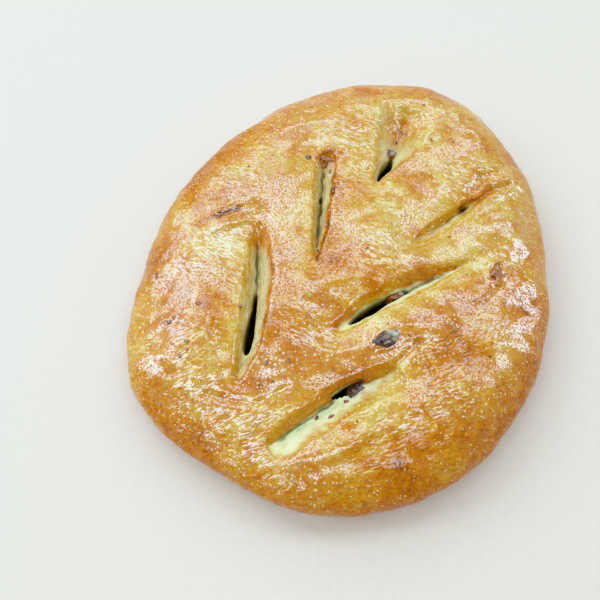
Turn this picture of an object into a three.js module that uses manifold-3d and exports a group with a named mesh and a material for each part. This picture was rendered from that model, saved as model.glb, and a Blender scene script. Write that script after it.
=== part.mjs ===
// Fougasse: a plump, leaf-shaped hearth bread with three slashes on each side of its middle rib,
// and pieces of nut that show in the crust and in the slashes.
// Millimetres, +Z up. The loaf lies on its flat base, with the origin under the middle of its outline.
import * as THREE from "three";
import { mergeVertices } from "three/addons/utils/BufferGeometryUtils.js";
import Module from "manifold-3d";

const wasm = await Module();
wasm.setup();

// Driving dimensions of the loaf
const EDGE_RADII = [128, 140, 155, 140, 122, 117, 120, 138, 136, 142, 137, 130]; // every 30 degrees from +X
const CROWN_HEIGHT = 47; // top of the dough above the base
const BELLY_HEIGHT = 17; // where the side bulges furthest
const CROWN_FULLNESS = 3.4; // 2 is an ellipse in section, and more is flatter on top
const BASE_SHARE = 0.85; // the base's outline against the belly's
const RIM_FADE = 10; // a high power keeps swellings and hollows off the belly

// Broad swellings of the dough: height, waves in radians per millimetre along X and Y, and phase
const SWELLINGS = [
  { height: 1.1, x: 0.045, y: 0.021, phase: 0.6 },
  { height: 0.9, x: -0.027, y: 0.052, phase: 2.1 },
  { height: 0.7, x: 0.071, y: -0.048, phase: 4.0 },
];

// Each slash runs from its inner end, near the middle rib, to its outer end, near the edge.
// bow: how far it curves to its left. roll: width of the lip that turns down into it, left and right.
// flare: share by which the lips widen towards the outer end. sink: how deep each lip ends, left and right.
// open: shares of the slash between which its lips stand apart. gap: how far they do, at widest along that.
// lean: how far the opening shifts to the left on its way down to its floor.
const CUT_THROUGH = -6; // a floor under the base
const SHUT_FLOOR = 18; // a floor inside the dough
const SLASHES = [
  {
    inner: [-57, -66], outer: [-49, 23], bow: -3.5, roll: [10, 11], flare: 0.1, sink: [12, 12],
    open: [0.08, 0.74], gap: 7, widest: 0.32, lean: 0, floor: CUT_THROUGH,
  },
  {
    inner: [-14, 5], outer: [-8, 72], bow: 0, roll: [7, 9], flare: 0.35, sink: [9, 9],
    open: [0.25, 0.88], gap: 3, widest: 0.5, lean: 1, floor: SHUT_FLOOR,
  },
  {
    inner: [24, 57], outer: [46, 109], bow: -2, roll: [12, 15], flare: 0.5, sink: [12, 12],
    open: [0, 0.46], gap: 6.5, widest: 0.42, lean: 0, floor: CUT_THROUGH,
  },
  {
    inner: [48, 16], outer: [87, 46], bow: 0, roll: [11, 8], flare: 0.1, sink: [10, 8],
    open: [0.05, 0.94], gap: 4.2, widest: 0.7, lean: 3, floor: SHUT_FLOOR,
  },
  {
    inner: [1, -40], outer: [77, 1], bow: 2.5, roll: [15, 8], flare: 0, sink: [12, 8],
    open: [0.02, 0.66], gap: 7, widest: 0.3, lean: 2, floor: CUT_THROUGH,
  },
  {
    inner: [-34, -105], outer: [26, -66], bow: 3, roll: [15, 20], flare: -0.1, sink: [12, 13],
    open: [0.25, 0.9], gap: 6, widest: 0.55, lean: 6, floor: CUT_THROUGH,
  },
];
const HOLLOW_DEPTH = 4; // the broad hollow that the crust dips into along each slash
const HOLLOW_WIDTH = 17;
const LIP_END = 6; // how far the lips run past each end of a slash
const LIP_LIFT = 1; // the lips' cutter starts this far above the crust
const LIP_POWER = 1.7; // how sharply the lips turn down towards the opening
const LIP_END_WIDTH = 0.15; // share of a lip's width that is left at the ends
const LIP_FADE = 0.6; // below 1 the lips keep their width and depth for longer towards the ends
const LIP_MIDDLE = 0.5; // half width of the strip between the lips
const GAP_TIP = 0.3; // half width left at the opening's pointed ends

// Pieces of nut: place, how far the middle lies under the crust, length, width, height and turn in degrees
const NUT_PIECES = [
  { at: [26, -48], under: 1.5, size: [19, 10, 9], turn: 28 },
  { at: [92, -5], under: 2.2, size: [16, 9, 8], turn: 68 },
  { at: [8, -73], under: 11, size: [16, 8, 9], turn: 38 },
  { at: [32, -19], under: 12, size: [12, 8, 9], turn: 28 },
  { at: [33, 83], under: 10, size: [13, 9, 9], turn: 62 },
  { at: [-7, 73], under: 3.5, size: [13, 10, 7], turn: 20 },
  { at: [78, 40], under: 9, size: [11, 7, 8], turn: 40 },
];
const NUT_LUMP = 0.12; // how much a nut's surface swells and dips, as a share of its size
const NUT_CLEARANCE = 0.35; // between a nut and the dough around it

// How finely the shapes are faceted
const CROWN_ROWS = 17; // rows of facets from the middle out to the belly
const UNDER_ROWS = 5; // and from the belly under to the base
const ROW_CROWDING = 1.6; // above 1 the crown's rows draw closer together towards the belly
const LIP_STEPS = 18; // sections along a slash
const LIP_POINTS = 5; // facets across a lip
const GAP_POINTS = 14; // points along each side of an opening
const NUT_DETAIL = 1;

const crustMaterial = new THREE.MeshStandardMaterial({ color: 0xcf9638, roughness: 0.38, metalness: 0 });
const nutMaterial = new THREE.MeshStandardMaterial({ color: 0x7a5a44, roughness: 0.6, metalness: 0 });

// The loaf's edge in a given direction: a smooth closed curve through the edge radii.
function edgeRadius(angle) {
  const count = EDGE_RADII.length;
  const turns = (((angle / (2 * Math.PI)) % 1) + 1) % 1;
  const first = Math.floor(turns * count);
  const share = turns * count - first;
  const [before, start, end, after] = [-1, 0, 1, 2].map((k) => EDGE_RADII[(first + k + count) % count]);
  const rise = (end - before) / 2;
  const fall = (after - start) / 2;
  const bend = 2 * (start - end) + rise + fall;
  const curve = 3 * (end - start) - 2 * rise - fall;
  return start + share * (rise + share * (curve + share * bend));
}

// A slash's length, and its direction as a unit vector.
function slashLine(slash) {
  const line = new THREE.Vector2().fromArray(slash.outer).sub(new THREE.Vector2().fromArray(slash.inner));
  return { length: line.length(), direction: line.clone().normalize() };
}

// The place in plan that lies a given way along a slash, and a given way to the left of its bowed line.
function slashPlace(slash, along, left) {
  const { length, direction } = slashLine(slash);
  const share = (2 * along) / length - 1;
  const offset = left + slash.bow * Math.max(0, 1 - share * share);
  return [
    slash.inner[0] + direction.x * along - direction.y * offset,
    slash.inner[1] + direction.y * along + direction.x * offset,
  ];
}

// How far a place in plan is from a slash's straight line.
function slashDistance(slash, x, y) {
  const { length, direction } = slashLine(slash);
  const place = new THREE.Vector2(x - slash.inner[0], y - slash.inner[1]);
  const along = THREE.MathUtils.clamp(place.dot(direction), 0, length);
  return place.addScaledVector(direction, -along).length();
}

// Height of the crust above the base, before it is cut, at a place in plan inside the belly.
function crustHeight(x, y) {
  const share = Math.min(1, Math.hypot(x, y) / edgeRadius(Math.atan2(y, x)));
  const dome = Math.sqrt(1 - share ** CROWN_FULLNESS);
  let relief = 0;
  for (const s of SWELLINGS) relief += s.height * Math.sin(s.x * x + s.y * y + s.phase);
  for (const s of SLASHES) relief -= HOLLOW_DEPTH * Math.exp(-((slashDistance(s, x, y) / HOLLOW_WIDTH) ** 2));
  return BELLY_HEIGHT + (CROWN_HEIGHT - BELLY_HEIGHT) * dome + relief * (1 - share ** RIM_FADE);
}

// The loaf's section, one row for each ring of facets: share of the edge radius, and height below the belly.
function sectionRows() {
  const rows = [];
  for (let i = 0; i <= CROWN_ROWS; i++) {
    rows.push({ share: 1 - (1 - i / CROWN_ROWS) ** ROW_CROWDING });
  }
  for (let i = 1; i <= UNDER_ROWS; i++) {
    const turn = (i / UNDER_ROWS) * (Math.PI / 2);
    const share = 1 - (1 - BASE_SHARE) * (1 - Math.cos(turn));
    rows.push({ share, height: BELLY_HEIGHT * (1 - Math.sin(turn)) });
  }
  return rows;
}

// A mesh of only positions, from vertices and triangles.
function meshGeometry(positions, triangles) {
  const geometry = new THREE.BufferGeometry();
  geometry.setAttribute("position", new THREE.Float32BufferAttribute(positions, 3));
  geometry.setIndex(triangles);
  return geometry;
}

// Triangles over a grid of points, numbered row by row. Each diagonal runs out from the grid's middle.
function gridTriangles(rows, columns) {
  const triangles = [];
  for (let row = 0; row < rows - 1; row++) {
    for (let column = 0; column < columns - 1; column++) {
      const a = row * columns + column;
      const [b, c, d] = [a + 1, a + columns + 1, a + columns];
      const sameHalf = row < (rows - 1) / 2 === column < (columns - 1) / 2;
      if (sameHalf) triangles.push(a, b, c, a, c, d);
      else triangles.push(a, b, d, b, c, d);
    }
  }
  return triangles;
}

// The points round the border of such a grid, in the order in which its triangles pass them.
function gridBorder(rows, columns) {
  const border = [];
  const last = (rows - 1) * columns;
  for (let column = 0; column < columns - 1; column++) border.push(column);
  for (let row = 0; row < rows - 1; row++) border.push(row * columns + columns - 1);
  for (let column = columns - 1; column > 0; column--) border.push(last + column);
  for (let row = rows - 1; row > 0; row--) border.push(row * columns);
  return border;
}

// The uncut loaf: a square grid laid over a disc and bent down over the belly, closed by a flat base.
function doughGeometry() {
  const section = sectionRows();
  const reach = section.length - 1;
  const size = 2 * reach + 1;
  const positions = [];
  for (let v = -reach; v <= reach; v++) {
    for (let u = -reach; u <= reach; u++) {
      const ring = Math.max(Math.abs(u), Math.abs(v));
      const sideways = Math.abs(u) >= Math.abs(v);
      let angle = 0;
      if (ring > 0) angle = (Math.PI / 4) * (sideways ? v / u : 2 - u / v);
      if ((sideways ? u : v) < 0) angle += Math.PI;
      const radius = section[ring].share * edgeRadius(angle);
      const x = radius * Math.cos(angle);
      const y = radius * Math.sin(angle);
      positions.push(x, y, section[ring].height ?? crustHeight(x, y));
    }
  }
  const triangles = gridTriangles(size, size);
  const border = gridBorder(size, size);
  const middle = positions.length / 3;
  positions.push(0, 0, 0);
  border.forEach((point, k) => triangles.push(border[(k + 1) % border.length], point, middle));
  return meshGeometry(positions, triangles);
}

// What is cut away between a slash's lips: a slab whose underside is the lips' surface. Across the slash, a
// lip rolls down from the crust to its sunken edge. Along it, the lips run out above the crust at both ends.
function lipsCutter(slash) {
  const { length } = slashLine(slash);
  const top = CROWN_HEIGHT + HOLLOW_DEPTH;
  const upper = [];
  const lower = [];
  for (let i = 0; i <= LIP_STEPS; i++) {
    const reach = -Math.cos((Math.PI * i) / LIP_STEPS);
    const along = length / 2 + reach * (length / 2 + LIP_END);
    const fade = (1 - reach ** 2) ** LIP_FADE;
    const width = (LIP_END_WIDTH + (1 - LIP_END_WIDTH) * fade) * (1 + slash.flare * reach);
    for (let j = -LIP_POINTS; j <= LIP_POINTS + 1; j++) {
      const side = j <= 0 ? 0 : 1;
      const outward = (side === 0 ? -j : j - 1) / LIP_POINTS;
      const distance = LIP_MIDDLE + (slash.roll[side] * width - LIP_MIDDLE) * outward;
      const [x, y] = slashPlace(slash, along, side === 0 ? distance : -distance);
      const drop = (slash.sink[side] + LIP_LIFT) * fade * (1 - outward) ** LIP_POWER - LIP_LIFT;
      lower.push(x, y, crustHeight(x, y) - drop);
      upper.push(x, y, top);
    }
  }
  const rows = LIP_STEPS + 1;
  const columns = 2 * LIP_POINTS + 2;
  const count = rows * columns;
  const faces = gridTriangles(rows, columns);
  const underside = faces.map((point) => count + point).reverse();
  const walls = gridBorder(rows, columns).flatMap((point, k, border) => {
    const next = border[(k + 1) % border.length];
    return [next, point, count + point, next, count + point, count + next];
  });
  return meshGeometry([...upper, ...lower], [...faces, ...underside, ...walls]);
}

// The opening between the lips: a slanting blade of pointed-oval section, from its floor to above the crust.
function gapCutter(slash) {
  const { length, direction } = slashLine(slash);
  const skew = Math.log(0.5) / Math.log(slash.widest);
  const leftSide = [];
  const rightSide = [];
  for (let i = 0; i <= GAP_POINTS; i++) {
    const share = i / GAP_POINTS;
    const along = THREE.MathUtils.lerp(slash.open[0], slash.open[1], share);
    const half = Math.max(GAP_TIP, (slash.gap / 2) * Math.sin(Math.PI * share ** skew));
    const middle = slash.bow * (1 - (2 * along - 1) ** 2);
    leftSide.unshift(new THREE.Vector2(along * length, middle + half));
    rightSide.push(new THREE.Vector2(along * length, middle - half));
  }
  const depth = CROWN_HEIGHT + HOLLOW_DEPTH - slash.floor;
  const outline = new THREE.Shape([...rightSide, ...leftSide]);
  const geometry = new THREE.ExtrudeGeometry(outline, { depth, bevelEnabled: false });
  const slant = new THREE.Matrix4().makeShear(0, 0, 0, 0, 0, -slash.lean / depth);
  const turn = new THREE.Matrix4().makeRotationZ(Math.atan2(direction.y, direction.x));
  return geometry
    .applyMatrix4(slant)
    .translate(0, slash.lean, slash.floor)
    .applyMatrix4(turn)
    .translate(slash.inner[0], slash.inner[1], 0);
}

// A piece of nut: a lumpy pebble, grown on all sides where it is the pocket that holds one.
function nutGeometry(nut, grow) {
  const geometry = mergeVertices(positionsOnly(new THREE.IcosahedronGeometry(1, NUT_DETAIL)));
  const position = geometry.getAttribute("position");
  for (let i = 0; i < position.count; i++) {
    const point = new THREE.Vector3().fromBufferAttribute(position, i);
    const wave = Math.sin(2.5 * point.x + nut.turn) * Math.cos(2 * point.y - nut.turn);
    const lump = 1 + NUT_LUMP * (wave + Math.sin(2 * point.z + 3 * point.x));
    const half = nut.size.map((size) => (size / 2) * lump + grow);
    position.setXYZ(i, point.x * half[0], point.y * half[1], point.z * half[2]);
  }
  const [x, y] = nut.at;
  const turn = new THREE.Matrix4().makeRotationZ(THREE.MathUtils.degToRad(nut.turn));
  return geometry.applyMatrix4(turn).translate(x, y, crustHeight(x, y) - nut.under);
}

function positionsOnly(geometry) {
  geometry.deleteAttribute("normal");
  geometry.deleteAttribute("uv");
  return geometry;
}

// A closed geometry as a solid that can be cut, and a solid as a geometry again.
function solidOf(geometry) {
  const merged = mergeVertices(positionsOnly(geometry), 1e-3);
  const vertProperties = merged.getAttribute("position").array;
  const triVerts = new Uint32Array(merged.index.array);
  return new wasm.Manifold(new wasm.Mesh({ numProp: 3, vertProperties, triVerts }));
}

function geometryOf(solid) {
  const { vertProperties, triVerts } = solid.getMesh();
  return meshGeometry(Array.from(vertProperties), Array.from(triVerts));
}

function namedMesh(name, geometry, material) {
  const mesh = new THREE.Mesh(geometry, material);
  mesh.name = name;
  return mesh;
}

// The loaf, opened along each slash and hollowed where a nut sits in it
let loaf = solidOf(doughGeometry());
for (const slash of SLASHES) {
  loaf = loaf.subtract(solidOf(lipsCutter(slash))).subtract(solidOf(gapCutter(slash)));
}
for (const nut of NUT_PIECES) loaf = loaf.subtract(solidOf(nutGeometry(nut, NUT_CLEARANCE)));

const fougasse = new THREE.Group();
fougasse.add(namedMesh("loaf", geometryOf(loaf), crustMaterial));
NUT_PIECES.forEach((nut, i) => {
  fougasse.add(namedMesh(`nut_piece_${i + 1}`, nutGeometry(nut, 0), nutMaterial));
});

// The origin goes under the middle of the loaf's outline.
const box = new THREE.Box3().setFromObject(fougasse);
const middle = box.getCenter(new THREE.Vector3());
fougasse.position.set(-middle.x, -middle.y, -box.min.z);

export default fougasse;
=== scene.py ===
# A fougasse: a plump, leaf-shaped hearth bread with three slashes on each side of its middle rib, baked
# until its brushed crust shines, with pieces of walnut in the dough. Sizes are in millimetres, in the plan
# of the loaf before its outline is centred on the origin, and become metres where a mesh is made.
import functools
import itertools
import math

import bmesh
import bpy
import numpy as np
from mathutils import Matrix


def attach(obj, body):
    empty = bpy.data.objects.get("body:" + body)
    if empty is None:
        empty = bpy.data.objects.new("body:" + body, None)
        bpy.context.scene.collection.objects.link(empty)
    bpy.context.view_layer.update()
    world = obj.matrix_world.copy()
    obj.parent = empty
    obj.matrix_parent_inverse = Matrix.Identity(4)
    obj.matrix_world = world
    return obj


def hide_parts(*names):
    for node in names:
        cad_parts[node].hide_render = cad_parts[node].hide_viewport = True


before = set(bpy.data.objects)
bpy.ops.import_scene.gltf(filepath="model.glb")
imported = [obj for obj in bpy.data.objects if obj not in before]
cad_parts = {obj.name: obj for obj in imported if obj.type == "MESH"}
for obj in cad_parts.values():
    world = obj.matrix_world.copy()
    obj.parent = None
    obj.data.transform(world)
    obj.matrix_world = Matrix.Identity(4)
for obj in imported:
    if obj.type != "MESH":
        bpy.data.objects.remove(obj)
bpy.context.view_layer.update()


# The camera. The loaf is seen from well above its near edge and from under half a metre away, so its near
# side looks clearly larger than its far side.
MM = 0.001
VIEW_AIM = np.array([-25.1, -15.9, 20.0])
VIEW_ELEVATION = math.radians(67)
VIEW_DISTANCE = 460
VIEW_ANGLE = math.radians(42.92)

view_back = np.array([0, -math.cos(VIEW_ELEVATION), math.sin(VIEW_ELEVATION)])
camera = bpy.data.objects.new("camera", bpy.data.cameras.new("camera"))
camera.data.angle = VIEW_ANGLE
camera.location = (VIEW_AIM + VIEW_DISTANCE * view_back) * MM
camera.rotation_euler = (math.pi / 2 - VIEW_ELEVATION, 0, 0)
bpy.context.scene.collection.objects.link(camera)
bpy.context.scene.camera = camera


# The loaf. One slab of wheat dough is patted into a leaf, slashed, pulled open and proved until the lips of
# the slashes roll over, and then baked on a hot floor. The crust is brushed before baking, so it browns
# unevenly and shines, and the slashes show the pale crumb inside.
CROWN_HEIGHT = 47
BELLY_HEIGHT = 17
CROWN_FULLNESS = 3.4
BASE_SHARE = 0.85
RIM_FADE = 10
# The edge's radius every 30 degrees from +X
EDGE_RADII = np.array([128, 140, 155, 140, 122, 117, 120, 138, 136, 142, 137, 130])
# Broad swellings of the crown: height, radians per millimetre along x and along y, and phase of a sine
SWELLINGS = ((1.1, 0.045, 0.021, 0.6), (0.9, -0.027, 0.052, 2.1), (0.7, 0.071, -0.048, 4.0))
CUT_THROUGH = -6
SHUT_FLOOR = 18
# The slashes: left near, middle and far, then right far, middle and near. A pair is for the left and the
# right lip, seen from the inner end, except where it is said to be for the two ends.
# inner and outer are the ends, and bow how far the line between them curves to the left.
# roll is how wide a lip rolls, flare how much wider towards the outer end, sink how deep its edge lies, and
# turn how late it turns down. tips and blunt, for the two ends, say how wide and how square the lips end.
# open is the share of the length that gapes, from end to end, gap how far, widest where along it, lean how
# far its foot shifts to the left, and floor how high its foot lies.
# crumb is how deep the pale crumb starts on each lip, at its two ends, fray over what depth it does, and
# pale how white it is. Between the shares of baked it browns over, and between those of fissure the lips
# pinch a line that is painted dark as shade. tan is how much browner a lip is than the crust, and rim how
# brown a line its edge has.
SLASHES = (
    dict(inner=(-57, -66), outer=(-49, 23), bow=-3.5,
         roll=(10, 11), flare=0.1, sink=(12, 12), turn=(1.7, 1.15), tips=(0.35, 0.35), blunt=(0.6, 0.6),
         open=(0.06, 0.8), gap=5, widest=0.26, lean=0, floor=CUT_THROUGH,
         crumb=((4, 5), (2.4, 3.4)), fray=(2.5, 1.8), pale=0.32, baked=(0.8, 0.95), fissure=(0.5, 0.92),
         tan=(-0.06, 0.08), rim=(0, 0.2)),
    dict(inner=(-14, 5), outer=(-8, 72), bow=0,
         roll=(7, 9), flare=0.4, sink=(8, 9), turn=(1.7, 1.2), tips=(0.15, 0.6), blunt=(0.6, 0.4),
         open=(0.3, 0.88), gap=2.5, widest=0.6, lean=1, floor=SHUT_FLOOR,
         crumb=((4.5, 2.2), (4, 2.2)), fray=(2.5, 1.4), pale=0.3, baked=(0.85, 1.05), fissure=(0.05, 0.9),
         tan=(-0.16, 0.05), rim=(0, 0.3)),
    dict(inner=(24, 57), outer=(46, 109), bow=-2,
         roll=(14, 14), flare=0.8, sink=(11, 11), turn=(1.1, 1.1), tips=(0.15, 0.9), blunt=(0.6, 0.5),
         open=(-0.05, 0.52), gap=7, widest=0.5, lean=0, floor=CUT_THROUGH,
         crumb=((3, 2.5), (2.5, 2.5)), fray=(2.5, 2.5), pale=0.4, baked=(0.38, 0.8), fissure=(0, 0.1),
         tan=(-0.16, -0.16), rim=(0, 0)),
    dict(inner=(48, 16), outer=(87, 46), bow=0,
         roll=(8, 9), flare=0.1, sink=(6, 6), turn=(3.4, 1.6), tips=(0.15, 0.4), blunt=(0.6, 0.6),
         open=(0.52, 0.92), gap=3, widest=0.6, lean=3, floor=SHUT_FLOOR,
         crumb=((7, 7), (3, 3.5)), fray=(1.5, 1.5), pale=0.3, baked=(0.85, 1.0), fissure=(0.03, 0.95),
         tan=(0.02, -0.12), rim=(0, 0)),
    dict(inner=(1, -40), outer=(77, 1), bow=2.5,
         roll=(12, 8), flare=0, sink=(9, 8), turn=(2.0, 1.5), tips=(0.6, 0.2), blunt=(0.4, 1.0),
         open=(-0.02, 0.7), gap=6.2, widest=0.3, lean=2, floor=CUT_THROUGH,
         crumb=((3.4, 9.5), (2.8, 2.8)), fray=(1.5, 1), pale=0.65, baked=(1.1, 1.3), fissure=(0.42, 0.97),
         tan=(0.1, -0.18), rim=(0, 0)),
    dict(inner=(-36, -103), outer=(26, -66), bow=3,
         roll=(10, 17), flare=0, sink=(6, 12), turn=(2.2, 1.25), tips=(0.9, 1.0), blunt=(0.3, 0.35),
         open=(0.34, 0.92), gap=4.2, widest=0.62, lean=6, floor=CUT_THROUGH,
         crumb=((7, 9), (3, 8)), fray=(1.5, 5), pale=1.0, baked=(1.1, 1.3), fissure=(0.02, 0.55),
         tan=(0.1, -0.15), rim=(0, 0)),
)
HOLLOW_DEPTH = 4
HOLLOW_WIDTH = 17
LIP_END = 6
LIP_LIFT = 1
LIP_MIDDLE = 0.5
LIP_WAVE = 0.025
LIP_WAVE_LENGTHS = (11, 6.3)
GAP_TIP = 0.3
GAP_TAPER = 1.6
GAP_FLOOR_WIDTH = 0.4
CUT_TOP = CROWN_HEIGHT + 2 * HOLLOW_DEPTH

CROWN_ROWS = 80
UNDER_ROWS = 16
ROW_CROWDING = 1.6
LIP_STEPS = 90
LIP_POINTS = 14
GAP_STEPS = 60
GAP_LEVELS = 12
MERGE_DISTANCE = 1e-7
SKIN_CELL = 1.1
SKIN_SOFTENING = 0.5
SKIN_ROUNDS = 4
SKIN_KEPT = 0.6


def edge_radius(angle):
    """The loaf's edge in a given direction: a cubic through each pair of edge radii, whose slope at either
    end is half of the step between that radius's two neighbours."""
    turns = angle / (2 * math.pi) % 1 * len(EDGE_RADII)
    first = np.floor(turns).astype(int)
    share = turns - first
    before, start, end, after = (EDGE_RADII[(first + k) % len(EDGE_RADII)] for k in (-1, 0, 1, 2))
    rise = (end - before) / 2
    fall = (after - start) / 2
    bend = 2 * (start - end) + rise + fall
    curve = 3 * (end - start) - 2 * rise - fall
    return start + share * (rise + share * (curve + share * bend))


def bell(distance, width):
    """A bell curve: 1 at no distance, and 1/e at the given width."""
    return np.exp(-((distance / width) ** 2))


def slash_line(slash):
    """A slash's inner end, its length, and the unit vector from its inner to its outer end."""
    inner = np.array(slash["inner"], float)
    line = np.array(slash["outer"]) - inner
    length = np.hypot(*line)
    return inner, length, line / length


def slash_bow(slash, along, length):
    """How far a slash's line lies left of straight: a parabola from end to end, and nothing past the
    ends."""
    return slash["bow"] * np.maximum(0, 1 - (2 * along / length - 1) ** 2)


def slash_place(slash, along, left):
    """The place in plan that lies a given way along a slash and a given way to the left of its bowed
    line."""
    inner, length, (dx, dy) = slash_line(slash)
    offset = left + slash_bow(slash, along, length)
    return inner[0] + dx * along - dy * offset, inner[1] + dy * along + dx * offset


def slash_reach(slash, x, y):
    """The way along a slash as a share of its length, and the way left of its bowed line, of places in
    plan."""
    inner, length, (dx, dy) = slash_line(slash)
    along = (x - inner[0]) * dx + (y - inner[1]) * dy
    left = (y - inner[1]) * dx - (x - inner[0]) * dy
    return along / length, left - slash_bow(slash, along, length)


def line_distance(start, end, x, y):
    """How far places in plan are from the straight line between two points."""
    line = np.subtract(end, start)
    share = ((x - start[0]) * line[0] + (y - start[1]) * line[1]) / (line @ line)
    share = np.clip(share, 0, 1)
    return np.hypot(x - start[0] - share * line[0], y - start[1] - share * line[1])


def crust_height(x, y):
    """The uncut crust's height over its plan: a flattened dome down to the belly, plus a few sine
    swellings, less a bell-shaped hollow along each slash."""
    share = np.minimum(1, np.hypot(x, y) / edge_radius(np.arctan2(y, x)))
    swelling = sum(height * np.sin(kx * x + ky * y + phase) for height, kx, ky, phase in SWELLINGS)
    for slash in SLASHES:
        distance = line_distance(slash["inner"], slash["outer"], x, y)
        swelling = swelling - HOLLOW_DEPTH * bell(distance, HOLLOW_WIDTH)
    dome = np.sqrt(1 - share**CROWN_FULLNESS)
    return BELLY_HEIGHT + (CROWN_HEIGHT - BELLY_HEIGHT) * dome + swelling * (1 - share**RIM_FADE)


def disc_grid(reach):
    """A square grid bent into a disc. A point's ring is the larger of its steps from the middle, and its
    angle turns evenly along the four sides of that ring."""
    steps = np.arange(-reach, reach + 1)
    u, v = np.meshgrid(steps, steps)
    sideways = abs(u) >= abs(v)
    with np.errstate(divide="ignore", invalid="ignore"):
        turn = np.nan_to_num(np.where(sideways, v / u, 2 - u / v))
    angle = math.pi / 4 * turn + math.pi * (np.where(sideways, u, v) < 0)
    return np.maximum(abs(u), abs(v)), angle


def closed_mesh(name, upper, lower):
    """The closed mesh between two grids of points: the faces of both, and a strip that joins their borders.
    Where the borders meet, they are merged."""
    rows, columns = upper.shape[:2]
    count = rows * columns
    index = np.arange(count).reshape(rows, columns)
    corners = [index[:-1, :-1], index[:-1, 1:], index[1:, 1:], index[1:, :-1]]
    quads = np.stack(corners, axis=-1).reshape(-1, 4)
    border = np.concatenate([index[0, :-1], index[:-1, -1], index[-1, :0:-1], index[:0:-1, 0]])
    after = np.roll(border, -1)
    strip = np.stack([after, border, border + count, after + count], axis=-1)
    points = np.concatenate([upper.reshape(-1, 3), lower.reshape(-1, 3)]) * MM
    faces = np.concatenate([quads, quads[:, ::-1] + count, strip])
    mesh = bpy.data.meshes.new(name)
    mesh.from_pydata(points.tolist(), [], faces.tolist())
    shape = bmesh.new()
    shape.from_mesh(mesh)
    bmesh.ops.remove_doubles(shape, verts=shape.verts, dist=MERGE_DISTANCE)
    shape.to_mesh(mesh)
    shape.free()
    mesh.shade_smooth()
    return mesh


def add_object(name, mesh):
    """An object at the origin that shows a mesh."""
    made = bpy.data.objects.new(name, mesh)
    bpy.context.scene.collection.objects.link(made)
    return made


def dough_grids():
    """The uncut loaf's two grids. The upper runs out over the crown to the belly, and on a quarter of an
    ellipse under to the edge of the base. The lower is the flat base."""
    turn = np.linspace(0, math.pi / 2, UNDER_ROWS + 1)[1:]
    crown = 1 - (1 - np.linspace(0, 1, CROWN_ROWS + 1)) ** ROW_CROWDING
    shares = np.concatenate([crown, 1 - (1 - BASE_SHARE) * (1 - np.cos(turn))])
    heights = np.concatenate([np.zeros(CROWN_ROWS + 1), BELLY_HEIGHT * (1 - np.sin(turn))])
    ring, angle = disc_grid(CROWN_ROWS + UNDER_ROWS)
    outward = np.stack([np.cos(angle), np.sin(angle)]) * edge_radius(angle)
    x, y = outward * shares[ring]
    z = np.where(ring <= CROWN_ROWS, crust_height(x, y), heights[ring])
    base_x, base_y = outward * BASE_SHARE * ring / ring.max()
    return np.stack([x, y, z], axis=-1), np.stack([base_x, base_y, np.zeros_like(base_x)], axis=-1)


def lips_grids(slash):
    """What is cut away between a slash's lips. Across the slash, each lip rolls down from the crust by a
    power of the way in, to its sunken edge. Along it, two sines make the lips wavy, and they run out
    above the crust at both ends."""
    length = slash_line(slash)[1]
    reach = -np.cos(np.linspace(0, math.pi, LIP_STEPS + 1))[:, None]
    fade = np.maximum(0, 1 - reach**2) ** np.where(reach < 0, *slash["blunt"])
    tip = np.where(reach < 0, *slash["tips"])
    width = (tip + (1 - tip) * fade) * (1 + slash["flare"] * reach)
    waves = sum(np.sin(reach * length / wave + phase)
                for wave, phase in zip(LIP_WAVE_LENGTHS, slash["inner"]))
    width = width * (1 + LIP_WAVE * waves)
    across = np.linspace(1, -1, 2 * LIP_POINTS + 1)[None, :]
    roll, sink, turn = (np.where(across > 0, *slash[name]) for name in ("roll", "sink", "turn"))
    outward = abs(across)
    distance = LIP_MIDDLE + (roll * width - LIP_MIDDLE) * outward
    along = length / 2 + reach * (length / 2 + LIP_END)
    x, y = slash_place(slash, along, np.sign(across) * distance)
    drop = (sink + LIP_LIFT) * fade * (1 - outward) ** turn - LIP_LIFT
    top = np.full_like(x, CUT_TOP)
    return np.stack([x, y, top], axis=-1), np.stack([x, y, crust_height(x, y) - drop], axis=-1)


def gap_grids(slash):
    """The opening between a slash's lips: a pointed leaf in plan, by a power of a quarter of a sine from
    either end to its widest place. Towards its floor it shifts to the left, and narrows below half its
    height."""
    length = slash_line(slash)[1]
    share = np.linspace(0, 1, GAP_STEPS + 1)[None, :]
    level = np.linspace(0, 1, GAP_LEVELS + 1)[:, None]
    first, last = slash["open"]
    along = length * (first + (last - first) * share)
    towards = np.minimum(share / slash["widest"], (1 - share) / (1 - slash["widest"]))
    half = np.maximum(GAP_TIP, slash["gap"] / 2 * np.sin(math.pi / 2 * towards) ** GAP_TAPER)
    half = half * (GAP_FLOOR_WIDTH + (1 - GAP_FLOOR_WIDTH) * np.minimum(1, 2 * level))
    shift = slash["lean"] * (1 - level)
    height = np.broadcast_to(slash["floor"] + (CUT_TOP - slash["floor"]) * level, half.shape)
    right, left = (np.stack([*slash_place(slash, along, shift + side * half), height], axis=-1)
                   for side in (-1, 1))
    return right, left


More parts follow.
